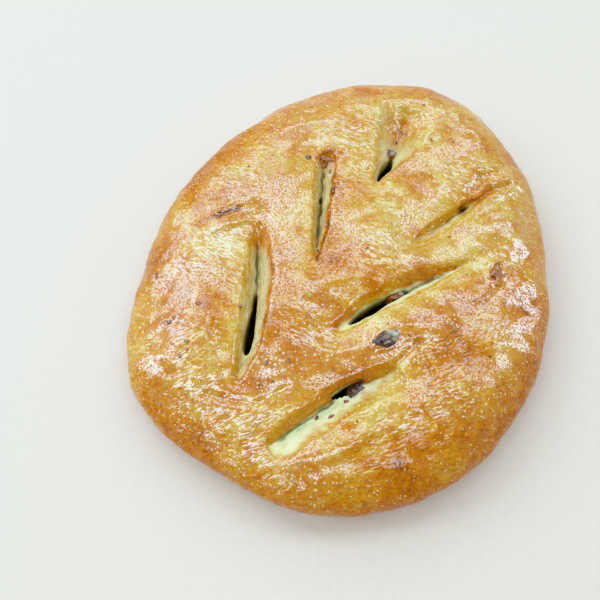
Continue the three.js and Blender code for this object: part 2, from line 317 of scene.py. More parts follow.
def cut_loaf(upper, lower):
    """The dough less what is cut away at each slash, covered in an even skin of small faces."""
    loaf = add_object("baked_loaf", closed_mesh("dough", upper, lower))
    cutters = [add_object("cutter", closed_mesh("cutter", *grids(slash)))
               for slash in SLASHES for grids in (lips_grids, gap_grids)]
    for cutter in cutters:
        cut = loaf.modifiers.new("cut", "BOOLEAN")
        cut.operation = "DIFFERENCE"
        cut.solver = "MANIFOLD"
        cut.object = cutter
    skin = loaf.modifiers.new("skin", "REMESH")
    skin.mode = "VOXEL"
    skin.voxel_size = SKIN_CELL * MM
    soften = loaf.modifiers.new("soften", "SMOOTH")
    soften.factor = SKIN_SOFTENING
    soften.iterations = SKIN_ROUNDS
    thin = loaf.modifiers.new("thin", "DECIMATE")
    thin.ratio = SKIN_KEPT
    evaluated = loaf.evaluated_get(bpy.context.evaluated_depsgraph_get())
    mesh = bpy.data.meshes.new_from_object(evaluated)
    mesh.materials.clear()
    loaf.modifiers.clear()
    loaf.data = mesh
    for cutter in cutters:
        bpy.data.objects.remove(cutter)
    return loaf


def mesh_array(items, name):
    """One named vector of every vertex of a mesh, as an array."""
    values = np.empty(len(items) * 3, np.float32)
    items.foreach_get(name, values)
    return values.reshape(-1, 3).astype(float)


upper, lower = dough_grids()
outline = upper[..., :2].reshape(-1, 2)
loaf_shift = np.array([*(-(outline.min(axis=0) + outline.max(axis=0)) / 2), 0])
loaf = cut_loaf(upper, lower)
points = mesh_array(loaf.data.vertices, "co") / MM
normals = mesh_array(loaf.data.vertex_normals, "vector")
x, y, z = points.T
depth = crust_height(x, y) - z
edge_share = np.hypot(x, y) / edge_radius(np.arctan2(y, x))

# The slashes' marks on the loaf's skin. A slash's window fades out past its ends, by shares of its length,
# and past the roll of its lips. The crumb starts on an uneven line, and the line where the lips pinch,
# which
# is painted dark as shade, wanders: height, size, seed.
NOISE_TABLE = 256
NOISE_GAIN = 1.7
END_NEAR, END_FAR = 0.06, 0.16
SIDE_NEAR, SIDE_FAR = 2, 7
INSIDE_DEPTHS = (1, 4)
STRAND_STRETCH = 6
CRUMB_EDGE = (1.3, 5, 11)
FRAY_LEAST = 0.6
FRAY_SHARE = 0.3
PINCH_WANDER = (1.2, 6, 12)
PINCH_WIDTH = 0.9
PINCH_FADE = 0.04
PINCH_DEPTHS = (3, 6)
TAN_WIDTH = 12
TAN_CROSSING = 3
RIM_DEPTH = 1.2
RIM_WIDTH = 1.1
RIM_ENDS = (0.95, 0.8)


def ease(low, high, value):
    """A smooth step from 0 to 1 as a value goes from low to high: a cubic that is level at both ends."""
    share = np.clip((value - low) / (high - low), 0, 1)
    return share * share * (3 - 2 * share)


def lattice_keys(cell, corner, order):
    """A table row for one corner of each lattice cell: its three steps looked up in turn in a shuffled
    table."""
    key = np.zeros(len(cell), int)
    for step in (cell + corner).T:
        key = order[(key + step) % NOISE_TABLE]
    return key


def dough_noise(points, strength, size, seed):
    """Smooth noise of up to about the given strength either way. Random slopes at the corners of a lattice
    of the given size are blended within each cell by a fifth-power ease."""
    draw = np.random.default_rng(seed)
    slopes = draw.normal(size=(NOISE_TABLE, 3))
    slopes /= np.linalg.norm(slopes, axis=1, keepdims=True)
    order = draw.permutation(NOISE_TABLE)
    cell = np.floor(points / size).astype(int)
    local = points / size - cell
    blend = local**3 * (local * (local * 6 - 15) + 10)
    total = np.zeros(len(points))
    for corner in itertools.product((0, 1), repeat=3):
        weight = np.where(corner, blend, 1 - blend).prod(axis=1)
        total += weight * (slopes[lattice_keys(cell, corner, order)] * (local - corner)).sum(axis=1)
    return NOISE_GAIN * total * strength


inside, crumb, pinch_shade, pale, tan = np.zeros((5, len(points)))
strand = np.zeros((len(points), 3))
near_slash = np.full(len(points), np.inf)
crumb_edge = dough_noise(points, *CRUMB_EDGE)
wander = dough_noise(points, *PINCH_WANDER)
for slash in SLASHES:
    share, left = slash_reach(slash, x, y)
    on_left = left > 0
    roll, fray, rim_brown = (np.where(on_left, *slash[name]) for name in ("roll", "fray", "rim"))
    window = ease(END_FAR, END_NEAR, np.maximum(-share, share - 1))
    window = window * ease(roll + SIDE_FAR, roll + SIDE_NEAR, abs(left))

    # How far inside the slash a point is, and its place along, across and down it, drawn out along it
    here = window * ease(*INSIDE_DEPTHS, depth)
    length = slash_line(slash)[1]
    drawn_out = np.stack([share * length / STRAND_STRETCH, left, depth], axis=-1)
    strand = np.where((here > inside)[:, None], drawn_out, strand)
    pale = np.where(here > inside, slash["pale"], pale)
    inside = np.maximum(inside, here)

    # How much of the crumb shows, and where the lips pinch a line that is painted dark as shade
    inner_start, outer_start = (np.where(on_left, *starts) for starts in zip(*slash["crumb"]))
    start = inner_start + (outer_start - inner_start) * np.clip(share, 0, 1)
    shown = ease(start - fray, start + fray, depth + crumb_edge * (FRAY_LEAST + FRAY_SHARE * fray))
    shown = shown * ease(*slash["baked"][::-1], share)
    crumb = np.maximum(crumb, window * shown)
    first, last = slash["fissure"]
    fissure = ease(first - PINCH_FADE, first + PINCH_FADE, share)
    fissure = fissure * ease(last + PINCH_FADE, last - PINCH_FADE, share)
    fissure = fissure * bell(left + wander, PINCH_WIDTH) * ease(*PINCH_DEPTHS, depth)
    pinch_shade = np.maximum(pinch_shade, window * fissure)

    # How much browner the lips and their edges are
    distance = line_distance(slash["inner"], slash["outer"], x, y)
    near_slash = np.minimum(near_slash, distance)
    left_tan, right_tan = slash["tan"]
    lip_tan = right_tan + (left_tan - right_tan) * ease(-TAN_CROSSING, TAN_CROSSING, left)
    tan += lip_tan * bell(distance, TAN_WIDTH)
    tan += rim_brown * window * ease(*RIM_ENDS, share) * bell(depth - RIM_DEPTH, RIM_WIDTH)
crust = 1 - inside

# The relief of the skin. Gas puffs and blisters the crust, the hands that shaped the loaf left wrinkles,
# creases and crumpled places in it, and the crumb is torn into strands. Unevenness is given as height,
# size and seed.
PUFFS = (1.4, 34, 1)
LUMPS = (0.8, 15, 2)
DIMPLES = (0.4, 8, 3)
PORES = (0.06, 3.6, 10)
STRANDS = (0.4, 1.8, 7)
TEARS = (0.5, 7.5, 8)
TORN_SHARE = 0.6
STANDING_HEIGHTS = (1.5, 9)
# Wrinkles in front, nearer than a slanting line or at the near left, rise to the right, and the others fall
FRONT_SLANT = 0.3
FRONT_FADE = (-30, -80)
LEFT_FADE = (-50, -75)
LEFT_NEAR_FADE = (0, -35)
WRINKLE_TURNS = (24, -26)
WRINKLE_SEEDS = (4, 14)
WRINKLE_PATCH = 38
WRINKLE_PATCH_FADE = (-0.2, 0.4)
FURROW_FADE = (0.55, 0.8)
WRINKLE_SIZE = 6.5
WRINKLE_STRETCH = 2.8
WRINKLE_HEIGHT = 0.75
CREASED_PLACE = (-82, -58)
CREASED_RADIUS = 24
BLISTER_SPACING = 5.5
BLISTER_SEED = 6
BLISTER_REACH = (0.42, 0.1)
BLISTER_HEIGHT = 0.2
# Creases of the crust, as lines in plan: start, end, half width, depth and browning. A negative depth is a
# fold that stands up.
CREASES = (
    ((-85, 27), (-72, 33), 2.0, 1.0, 0.4), ((-72, 33), (-60, 38), 2.2, 1.6, 0.4),
    ((-60, 38), (-51, 32), 2.0, 0.6, 0), ((-80, 22), (-54, 30), 2.4, -0.8, 0),
    ((43, -51), (51, -69), 2.2, 1.2, 0), ((43, -51), (31, -62), 2.2, 1.1, 0),
    ((43, -51), (60, -50), 2.2, 0.8, 0), ((54, -73), (66, -81), 1.8, -0.8, 0),
    ((40, -88), (50, -100), 2.4, -0.7, 0), ((-75, -79), (-65, -81), 2.0, 1.3, 0),
    ((-65, -81), (-46, -84), 2.6, 0.9, 0), ((-46, -84), (-30, -76), 2.6, 0.8, 0),
    ((-108, -41), (-95, -33), 2.2, -0.9, 0), ((-95, -33), (-81, -41), 2.2, -0.9, 0),
    ((-80, -28), (-72, -45), 2.6, 1.0, 0), ((-72, -45), (-65, -55), 2.6, 1.0, 0),
    ((79, 69), (97, 65), 3.6, -1.4, 0.05), ((83, 43), (91, 54), 3.6, -1.8, 0.1),
    ((91, 54), (105, 61), 3.8, -2.0, 0.1), ((85, 39), (95, 47), 3.0, -1.2, 0.05),
    ((95, 47), (107, 51), 3.0, -1.4, 0.05), ((80, 48), (89, 60), 3.0, 1.6, 0.2),
    ((89, 60), (99, 64), 3.0, 1.4, 0.15), ((84, 41), (93, 50), 2.2, 1.4, 0.2),
    ((93, 50), (106, 55), 2.2, 1.2, 0.15), ((75, 35), (82, 45), 2.4, 1.0, 0.2),
    ((-30, -116), (8, -105), 4.5, -0.9, 0), ((8, -105), (42, -86), 4.5, -0.9, 0),
)
CREASE_BROWN_WIDTH = 0.65
# The pieces of walnut that the dough holds: place in plan, how far under the crust, size and turn, how
# broken each is, how far along it the skin has come off, how much the dough has risen over its rim, and
# its skin
NUT_PIECES = (
    dict(at=(26, -48), under=0.8, size=(19, 10, 9), turn=28,
         broken=0.2, peeled=0, covered=0.5, skin="glazed"),
    dict(at=(92, -5), under=2.2, size=(16, 9, 8), turn=68,
         broken=0.35, peeled=0.7, covered=1.6, skin="toasted"),
    dict(at=(9, -72), under=13, size=(16, 8, 9), turn=38,
         broken=0.3, peeled=0.6, covered=0, skin="glazed"),
    dict(at=(32, -19), under=12, size=(12, 8, 9), turn=28,
         broken=0.3, peeled=0.9, covered=0, skin="broken"),
    dict(at=(33, 83), under=12, size=(13, 9, 9), turn=62,
         broken=0.3, peeled=0.3, covered=0, skin="broken"),
    dict(at=(-7, 73), under=4.5, size=(13, 10, 7), turn=20,
         broken=0.5, peeled=0.9, covered=1.4, skin="toasted"),
    dict(at=(78, 40), under=12, size=(11, 7, 8), turn=40,
         broken=0.3, peeled=0.9, covered=0, skin="broken"),
)
NUT_RIM_REACH = 0.95
NUT_RIM_WIDTH = 0.35
NUT_RIM_LUMPS = (1.4, 6, 16)
# Crumpled places, in plan, with their radius
CRUMPLES = (((-9, 75), 9), ((93, 55), 8), ((42, 99), 9))
CRUMPLE_FOLDS = (1, 8, 17)
CRUMPLE_HEIGHT = 1.8
CRUMPLE_LEVEL = 0.3


def blister_field(points, size, seed):
    """Round blisters: one in each cell of a lattice at a random place, with a random strength. Gives the
    distance to the nearest in cells, and that blister's strength from 0 to 1."""
    draw = np.random.default_rng(seed)
    places = draw.random((NOISE_TABLE, 3))
    strengths = draw.random(NOISE_TABLE)
    order = draw.permutation(NOISE_TABLE)
    cell = np.floor(points / size).astype(int)
    local = points / size - cell
    nearest = np.full(len(points), np.inf)
    strength = np.zeros(len(points))
    for corner in itertools.product((-1, 0, 1), repeat=3):
        key = lattice_keys(cell, corner, order)
        distance = np.linalg.norm(places[key] + corner - local, axis=1)
        closer = distance < nearest
        nearest = np.where(closer, distance, nearest)
        strength = np.where(closer, strengths[key], strength)
    return nearest, strength


def turned(x, y, degrees):
    """The way along and the way across an axis at a given angle from +X, of places in plan."""
    dx, dy = math.cos(math.radians(degrees)), math.sin(math.radians(degrees))
    return x * dx + y * dy, y * dx - x * dy


relief = dough_noise(points, *PUFFS) + dough_noise(points, *LUMPS)
relief += (dough_noise(points, *DIMPLES) + dough_noise(points, *PORES)) * crust

front = np.maximum(ease(*FRONT_FADE, y - FRONT_SLANT * x), ease(*LEFT_FADE, x) * ease(*LEFT_NEAR_FADE, y))
creased = bell(np.hypot(x - CREASED_PLACE[0], y - CREASED_PLACE[1]), CREASED_RADIUS)
furrow = np.zeros((len(points), 3))
furrowed = np.zeros(len(points))
for degrees, seed, side in zip(WRINKLE_TURNS, WRINKLE_SEEDS, (front, 1 - front)):
    along, across = turned(x, y, degrees)
    stretched = np.stack([along / WRINKLE_STRETCH, across, z], axis=-1)
    patches = ease(*WRINKLE_PATCH_FADE, dough_noise(points, 1, WRINKLE_PATCH, seed))
    wrinkled = np.maximum(patches, creased) * side
    ridge = 0.5 - abs(dough_noise(stretched, 1, WRINKLE_SIZE, seed + 1))
    relief += WRINKLE_HEIGHT * ridge * wrinkled * crust
    furrow = np.where((side > 0.5)[:, None], stretched, furrow)
    furrowed = np.maximum(furrowed, wrinkled * ease(*FURROW_FADE, side) * crust)

blister, strength = blister_field(points, BLISTER_SPACING, BLISTER_SEED)
relief += BLISTER_HEIGHT * strength**2 * ease(*BLISTER_REACH, blister) * crust

crease_brown = np.zeros(len(points))
for start, end, half_width, fall, brown in CREASES:
    distance = line_distance(start, end, x, y)
    relief -= fall * bell(distance, half_width) * crust
    crease_brown += brown * bell(distance, CREASE_BROWN_WIDTH * half_width) * crust

nut_rim = np.zeros(len(points))
for nut in NUT_PIECES:
    along, across = turned(x - nut["at"][0], y - nut["at"][1], nut["turn"])
    reach = np.hypot(along / nut["size"][0], across / nut["size"][1]) * 2
    nut_rim = np.maximum(nut_rim, nut["covered"] * bell(reach - NUT_RIM_REACH, NUT_RIM_WIDTH))
relief += (1 + dough_noise(points, *NUT_RIM_LUMPS)) * nut_rim

crumple = np.zeros(len(points))
for place, radius in CRUMPLES:
    crumple = np.maximum(crumple, bell(np.hypot(x - place[0], y - place[1]), radius))
fold = abs(dough_noise(points, *CRUMPLE_FOLDS))
relief += CRUMPLE_HEIGHT * crumple * (CRUMPLE_LEVEL - fold)

torn = dough_noise(strand, *STRANDS) + dough_noise(points, *TEARS)
relief = (relief * (1 - TORN_SHARE * inside) + torn * inside) * ease(*STANDING_HEIGHTS, z)

# The browning of the skin, from 0, pale, to 1, dark, and its glaze. It is browner round the edge, and the
# brush left less glaze there and by the slashes.
BROWN_CRUST = 0.42
BROWN_CLOUDS = (0.18, 40, 9)
BROWN_EDGE = 0.08
BROWN_EDGE_SHARES = (0.7, 0.98)
# Painted shade: the crust darkens a little towards the near side, past a slanting line
NEAR_SHADE = 0.01
NEAR_SHADE_FADE = (20, -140)
NEAR_SHADE_SLANT = 0.35
BROWN_BACK = -0.05
BROWN_BACK_FADE = (0, 130)
BROWN_FLOOR = 0.2
BROWN_FLOOR_DEPTHS = (4, 8)
BROWN_FLOOR_WIDTH = 6
# Round the nuts the crust is browner: partly its own colour, partly a painted contact shadow
NUT_RIM_BROWN_AND_SHADE = 0.12
BROWN_CRUMPLE = 0.04
BROWN_FOLD = 0.18
BROWN_FOLD_WIDTH = 0.25
# Painted shade: the depths over which the crumb is painted dark in the gaps, and how dark the pinched lines
# are
SHADE_DEPTHS = (11, 22)
PINCH_SHADE = 0.8
EDGE_UNGLAZED = 0.65
EDGE_UNGLAZED_SHARES = (0.88, 0.99)
SLASH_UNGLAZED = 0.6
SLASH_UNGLAZED_WIDTH = 9
# Patches of crust that differ from what is round about: place in plan, radius, how much browner, and how
# much of the glaze is lost. A negative browning is paler: in some patches the crust's own tone, in others a
# painted highlight where the crust shines. A negative loss is a thicker glaze.
BROWN_AND_HIGHLIGHT_PATCHES = (
    ((-70, -28), 13, 0.16, 0.7), ((-38, -42), 12, 0.08, 0.5), ((5, -15), 11, 0.05, 0.4),
    ((20, -18), 9, 0.2, 0.7), ((31, -12), 9, 0.16, 0.6), ((3, 0), 9, 0.1, 0.5), ((74, -54), 14, 0.08, 0.5),
    ((54, -63), 12, 0.1, 0.5), ((-17, -76), 9, 0.08, 0.5), ((2, -79), 10, 0.1, 0.5),
    ((16, 41), 12, 0.06, 0.6), ((9, -115), 14, 0.03, 0.7), ((30, -113), 14, 0.03, 0.7),
    ((-77, 80), 15, 0.12, 0.7), ((-55, 105), 14, 0.1, 0.7), ((-97, 50), 14, 0.08, 0.6),
    ((-86, 54), 14, 0.14, 0.7), ((-55, 86), 14, 0.14, 0.7), ((-30, -22), 9, 0.1, 0.4),
    ((50, -102), 13, 0.05, 0.7), ((-68, 34), 8, 0.06, 0.4), ((-82, 28), 7, 0.06, 0.5),
    ((44, 99), 7, 0.12, 0.2), ((-95, 14), 12, 0.08, 0.4), ((-1, 119), 12, 0.08, 0.4),
    ((-105, -48), 13, -0.06, 0), ((-97, -73), 15, -0.08, 0), ((103, 57), 12, -0.18, 0),
    ((40, 50), 10, -0.16, 0), ((62, 2), 9, -0.2, 0), ((-20, 78), 10, -0.14, 0), ((16, -85), 8, -0.12, 0),
    ((-6, -106), 8, -0.14, 0.4), ((12, -95), 8, -0.14, 0.4), ((28, -84), 8, -0.14, 0.4),
    ((104, 24), 14, -0.22, -0.3), ((38, 14), 11, -0.16, -0.4), ((77, 4), 11, -0.32, -0.2),
    ((34, 105), 11, -0.3, -0.3), ((92, 77), 12, -0.14, -0.3), ((-55, -66), 8, -0.1, -0.3),
    ((112, 36), 12, -0.08, -0.8), ((-66, 20), 14, -0.08, -0.8), ((-40, -65), 10, -0.02, -0.7),
    ((-12, -37), 10, 0, -0.5), ((-72, -5), 11, 0, -0.7), ((-6, -110), 6, -0.1, -0.6),
    ((12, -102), 6, -0.1, -0.6), ((28, -93), 6, -0.1, -0.6),
)
PATCH_EDGE = (0.35, 12, 18)
BASE_HEIGHTS = (0.9, -0.1)
BASE_FACINGS = (-0.5, -0.9)

browning = BROWN_CRUST + BROWN_EDGE * ease(*BROWN_EDGE_SHARES, edge_share) + tan + crease_brown
browning += dough_noise(points, *BROWN_CLOUDS)
# A little painted shade towards the near side
browning += NEAR_SHADE * ease(*NEAR_SHADE_FADE, y - NEAR_SHADE_SLANT * x)
browning += BROWN_BACK * ease(*BROWN_BACK_FADE, y)
slash_floor = inside * (1 - crumb) * ease(*BROWN_FLOOR_DEPTHS, depth) * (near_slash < BROWN_FLOOR_WIDTH)
# The slash floors brown, and round the nuts the crust darkens, in part as a painted contact shadow
browning += BROWN_FLOOR * slash_floor + NUT_RIM_BROWN_AND_SHADE * nut_rim
browning += crumple * (BROWN_CRUMPLE + BROWN_FOLD * ease(BROWN_FOLD_WIDTH, 0, fold))
glaze = 1 - EDGE_UNGLAZED * ease(*EDGE_UNGLAZED_SHARES, edge_share)
glaze *= 1 - SLASH_UNGLAZED * bell(near_slash, SLASH_UNGLAZED_WIDTH)
patch_edge = dough_noise(points, *PATCH_EDGE)
# Each patch browns or pales the crust, in places as a painted highlight, and thins or thickens its glaze
for place, radius, brown, lost in BROWN_AND_HIGHLIGHT_PATCHES:
    away = np.hypot(x - place[0], y - place[1]) / radius + patch_edge
    patch = bell(np.maximum(0, away), 1)
    browning += brown * patch * crust
    glaze *= 1 - lost * patch
# Shade painted into the colour: the crumb darkens deep in the slashes and along the lines where the lips
# pinch
painted_shade = np.maximum(inside * ease(*SHADE_DEPTHS, depth), PINCH_SHADE * pinch_shade)
underside = ease(*BASE_HEIGHTS, z) * ease(*BASE_FACINGS, normals[:, 2])

points += normals * relief[:, None]
loaf.data.vertices.foreach_set("co", ((points + loaf_shift) * MM).astype(np.float32).ravel())
crust_fields = dict(crumb=crumb, pale=pale, browning=browning, painted_shade=painted_shade, glaze=glaze, underside=underside,
                    furrowed=furrowed)
for name, values in crust_fields.items():
    field = loaf.data.attributes.new(name, "FLOAT", "POINT")
    field.data.foreach_set("value", values.astype(np.float32))
crust_grains = dict(strand=strand, furrow=furrow)
for name, vectors in crust_grains.items():
    grain = loaf.data.attributes.new(name, "FLOAT_VECTOR", "POINT")
    grain.data.foreach_set("vector", (vectors * MM).astype(np.float32).ravel())
loaf.data.shade_smooth()

# Brushed and baked wheat crust: a golden to orange skin, browned in clouds, under a thin hard glaze. The
# glaze gives a broad soft veil, which is the coat, and sharp white glints, which are the base layer's own
# shine. These are broken into chips of about a millimetre, and into streaks along the wrinkles, drawn
# coarser than the real ones so that they show. Pale blisters and dark bran dot the skin. The crumb in the
# slashes is matt and creamy, and drawn out into strands.
CLOUD_SIZE = 22
MOTTLE_SIZE = 6
GRAIN_SIZE = 1.8
FURROW_SIZE = 2.2
FIBRE_SIZE = 1.3
CHIP_SIZE = 1.1
DOT_SPACING = 2.4
BRAN_SPACING = 6
GLINT_BUMP = 0.25
VEIL_BUMP = 0.3
SKIN_COLOURS = (
    (0, "#d2b776"), (0.2, "#c89f46"), (0.4, "#c38829"), (0.6, "#bc6e16"), (0.8, "#a85b0b"), (1, "#6c370a"))
BLISTER_COLOUR = "#f4d69c"
BRAN_COLOURS = ((0.3, "#7a2c12"), (0.8, "#80626a"))
TAWNY_CRUMB = ((0.3, "#a07b3c"), (0.5, "#b89150"), (0.7, "#cba668"))
WHITE_CRUMB = ((0.3, "#dcd79c"), (0.5, "#f0ebb4"), (0.7, "#faf6c8"))
# The dark brown that is painted as shade deep in the gaps and along the pinched lines
PAINTED_SHADE_COLOUR = "#36230f"
BASE_COLOURS = ((0.3, "#94601f"), (0.7, "#b98a45"))
SHINE_TINT = "#e9ede4"


def linear(hex_colour):
    """An sRGB hex colour as linear red, green and blue, with full alpha."""
    shares = [int(hex_colour[k:k + 2], 16) / 255 for k in (1, 3, 5)]
    return (*(s / 12.92 if s <= 0.04045 else ((s + 0.055) / 1.055) ** 2.4 for s in shares), 1)


def add_node(tree, kind, inputs=(), stops=(), **settings):
    """Adds a node to a node tree. Each input is a value for that socket, an output to link to it, or a
    node, whose first output in use is linked. Stops are a ramp's places and colours in order, and
    settings the node's own properties. By number, a map range reads from 1 to 2 and gives 3 to 4, and a
    mix blends by 0 the values 2 and 3, or the colours 6 and 7."""
    made = tree.nodes.new("ShaderNode" + kind)
    for name, value in settings.items():
        setattr(made, name, value)
    for socket, value in dict(inputs).items():
        if isinstance(value, bpy.types.Node):
            value = next(output for output in value.outputs if output.enabled)
        if isinstance(value, bpy.types.NodeSocket):
            tree.links.new(value, made.inputs[socket])
        else:
            made.inputs[socket].default_value = value
    ends = {0: 0, len(stops) - 1: -1}
    for k, (place, colour) in enumerate(stops):
        elements = made.color_ramp.elements
        stop = elements[ends[k]] if k in ends else elements.new(place)
        stop.position = place
        stop.color = linear(colour)
    return made


def new_material(name):
    """An empty node material."""
    material = bpy.data.materials.new(name)
    material.use_nodes = True
    material.node_tree.nodes.clear()
    return material


def brushed_crust():
    """The crust's material, from the fields and grains that the loaf's points carry."""
    material = new_material("brushed_wheat_crust")
    node = functools.partial(add_node, material.node_tree)
    place = node("TexCoord").outputs["Object"]
    crumb, pale, browning, painted_shade, glaze, underside, furrowed = (
        node("Attribute", attribute_name=name).outputs["Fac"] for name in crust_fields)
    strand, wrinkle = (node("Attribute", attribute_name=name).outputs["Vector"] for name in crust_grains)
    clouds, mottle, grain, furrow, fibre, chips, streaks = (
        node("TexNoise", {"Vector": vector, "Scale": 1 / (size * MM), "Detail": detail})
        for vector, size, detail in (
            (place, CLOUD_SIZE, 2), (place, MOTTLE_SIZE, 3), (place, GRAIN_SIZE, 2),
            (wrinkle, FURROW_SIZE, 1), (strand, FIBRE_SIZE, 2), (place, CHIP_SIZE, 2),
            (wrinkle, CHIP_SIZE, 2)))

    # The skin's browning, broken up by three sizes of noise, and paler on the ridges between furrows
    furrow = node("Math", {0: furrow, 1: 0.5}, operation="SUBTRACT")
    furrow = node("Math", {0: furrow}, operation="ABSOLUTE")
    furrow = node("Math", {0: furrow, 1: furrowed}, operation="MULTIPLY")
    brown = node("Math", {0: furrow, 1: -0.8, 2: browning}, operation="MULTIPLY_ADD")
    for texture, weight in ((clouds, 0.52), (mottle, 0.55), (grain, 0.55)):
        brown = node("Math", {0: texture, 1: weight, 2: brown}, operation="MULTIPLY_ADD")
    brown = node("MapRange", {"Value": brown, 1: 0.79, 2: 1.69, 3: 0, 4: 1})
    skin = node("ValToRGB", {0: brown}, stops=SKIN_COLOURS)

    # Pale blisters, each of its own size, and smaller where the clouds are dark
    dots = node("TexVoronoi", {"Vector": place, "Scale": 1 / (DOT_SPACING * MM)})
    dot_pick = node("SeparateColor", {0: dots.outputs["Color"]}).outputs["Red"]
    dot_size = node("MapRange", {"Value": dot_pick, 1: 0.3, 2: 1, 3: 0.2, 4: 0.45})
    dot_share = node("MapRange", {"Value": clouds, 1: 0.4, 2: 0.6, 3: 1, 4: 0.7})
    dot_size = node("Math", {0: dot_size, 1: dot_share}, operation="MULTIPLY")
    dot = node("Math", {0: dot_size, 1: dots.outputs["Distance"]}, operation="SUBTRACT")
    dot = node("MapRange", {"Value": dot, 1: 0, 2: 0.2, 3: 0, 4: 1})
    half_dot = node("Math", {0: dot, 1: 0.55}, operation="MULTIPLY")
    skin = node("Mix", {0: half_dot, 6: skin, 7: linear(BLISTER_COLOUR)}, data_type="RGBA")

    # Specks of bran in half of their cells, reddish or grey
    bran = node("TexVoronoi", {"Vector": place, "Scale": 1 / (BRAN_SPACING * MM)})
    bran_pick = node("SeparateColor", {0: bran.outputs["Color"]})
    speck_size = node("MapRange", {"Value": bran_pick.outputs["Red"], 1: 0.5, 2: 1, 3: 0, 4: 0.16})
    speck = node("Math", {0: speck_size, 1: bran.outputs["Distance"]}, operation="SUBTRACT")
    speck = node("MapRange", {"Value": speck, 1: 0, 2: 0.05, 3: 0, 4: 0.8})
    husk = node("ValToRGB", {0: bran_pick.outputs["Green"]}, stops=BRAN_COLOURS)
    skin = node("Mix", {0: speck, 6: skin, 7: husk}, data_type="RGBA")

    # The crumb's fibres, the shade painted dark deep in the gaps and along the pinched lines, and the base
    tawny = node("ValToRGB", {0: fibre}, stops=TAWNY_CRUMB)
    white = node("ValToRGB", {0: fibre}, stops=WHITE_CRUMB)
    inner = node("Mix", {0: pale, 6: tawny, 7: white}, data_type="RGBA")
    colour = node("Mix", {0: crumb, 6: skin, 7: inner}, data_type="RGBA")
    colour = node("Mix", {0: painted_shade, 6: colour, 7: linear(PAINTED_SHADE_COLOUR)}, data_type="RGBA")
    base = node("ValToRGB", {0: mottle}, stops=BASE_COLOURS)
    colour = node("Mix", {0: underside, 6: colour, 7: base}, data_type="RGBA")

    # The glints, on the chips of glaze and on the blisters, and the veil
    matt = node("Math", {0: crumb, 1: underside}, operation="MAXIMUM")
    chips = node("Mix", {0: furrowed, 2: chips, 3: streaks})
    bare = node("MapRange", {"Value": chips, 1: 0.45, 2: 0.53, 3: 0.92, 4: 0})
    bare = node("Math", {0: matt, 1: bare}, operation="MAXIMUM")
    glint = node("Math", {0: 1, 1: bare}, operation="SUBTRACT")
    glint = node("Math", {0: glint, 1: half_dot}, operation="MAXIMUM")
    glint = node("Math", {0: glint, 1: glaze}, operation="MULTIPLY")
    glint = node("Math", {0: glint, 1: 0.5}, operation="MULTIPLY")
    veil = node("MapRange", {"Value": glaze, 1: 0, 2: 1, 3: 0.3, 4: 1})
    veil = node("Math", {0: veil, 1: matt}, operation="SUBTRACT", use_clamp=True)

    # The bumps of the skin under the veil, and the smoother ones of the glaze
    rough = node("Math", {0: chips, 1: 1.5, 2: dot}, operation="MULTIPLY_ADD")
    rough = node("Bump", {"Height": rough, "Strength": 1.0, "Distance": VEIL_BUMP * MM})
    smooth = node("Math", {0: chips, 1: 0.25, 2: dot}, operation="MULTIPLY_ADD")
    smooth = node("Math", {0: furrow, 1: 1.5, 2: smooth}, operation="MULTIPLY_ADD")
    smooth = node("Bump", {"Height": smooth, "Strength": 1.0, "Distance": GLINT_BUMP * MM})
    roughness = node("MapRange", {"Value": matt, 3: 0.13, 4: 0.9})
    surface = node("BsdfPrincipled", {
        "Base Color": colour, "Roughness": roughness, "Normal": smooth,
        "IOR": 2.6, "Specular IOR Level": glint, "Specular Tint": linear(SHINE_TINT),
        "Coat Weight": veil, "Coat Roughness": 0.5, "Coat IOR": 1.26, "Coat Normal": rough})
    node("OutputMaterial", {"Surface": surface})
    return material


loaf.data.materials.append(brushed_crust())
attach(loaf, "root")
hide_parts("loaf")


# The pieces of walnut. Broken kernels were kneaded into the dough, and those that lie at the crust or in a
# slash stick out of it with their folded brown skin, held by the baked dough round them.
NUT_ROWS = 16
NUT_SWELLING = (1, 0.8)
NUT_FOLDING = (1, 1.1)
FOLD_WIDTH = 0.25
FOLD_DEPTH = 0.5
SWELLING_SEED = 20
FOLDING_SEED = 70
PEELING_SEED = 40
PEELING_EDGE = (0.5, 5)
PEELING_FADE = 0.35


def ball_halves(rows):
    """The upper and the lower half of a ball of radius 1: a disc grid whose rings tilt evenly from the pole
    to the equator."""
    ring, angle = disc_grid(rows)
    tilt = ring / rows * math.pi / 2
    x, y = np.sin(tilt) * np.cos(angle), np.sin(tilt) * np.sin(angle)
    return [np.stack([x, y, side * np.cos(tilt)], axis=-1) for side in (1, -1)]


def spun(points, turn):
    """Points turned about the upright axis by an angle in radians."""
    x, y, z = np.moveaxis(points, -1, 0)
    return np.stack([x * np.cos(turn) - y * np.sin(turn), x * np.sin(turn) + y * np.cos(turn), z], axis=-1)


def kernel_grids(nut, number):
    """A broken kernel's upper and lower half: half a ball each, stretched to the piece's size, swollen by
    broad noise, and folded in where a second noise crosses zero."""
    middle = np.array([*nut["at"], crust_height(*np.array(nut["at"], float)) - nut["under"]])
    halves = []
    for half in ball_halves(NUT_ROWS):
        ball = half.reshape(-1, 3)
        fold = ease(FOLD_WIDTH, 0, abs(dough_noise(ball, *NUT_FOLDING, FOLDING_SEED + number)))
        swelling = dough_noise(ball, *NUT_SWELLING, SWELLING_SEED + number) - FOLD_DEPTH * fold
        shaped = ball * (1 + nut["broken"] * swelling)[:, None] * np.array(nut["size"]) / 2
        halves.append((spun(shaped, math.radians(nut["turn"])) + middle + loaf_shift).reshape(half.shape))
    return halves


# Baked walnut skin: a thin papery brown skin over pale flesh, redder where it is broken, and glazed along
# with the crust, so that its folds of two or three millimetres catch white lights.
SKIN_FOLD_SIZE = 2.4
SKIN_FOLD_BUMP = 0.5
FLESH_COLOURS = ((0.35, "#4a3523"), (0.62, "#c6b696"))


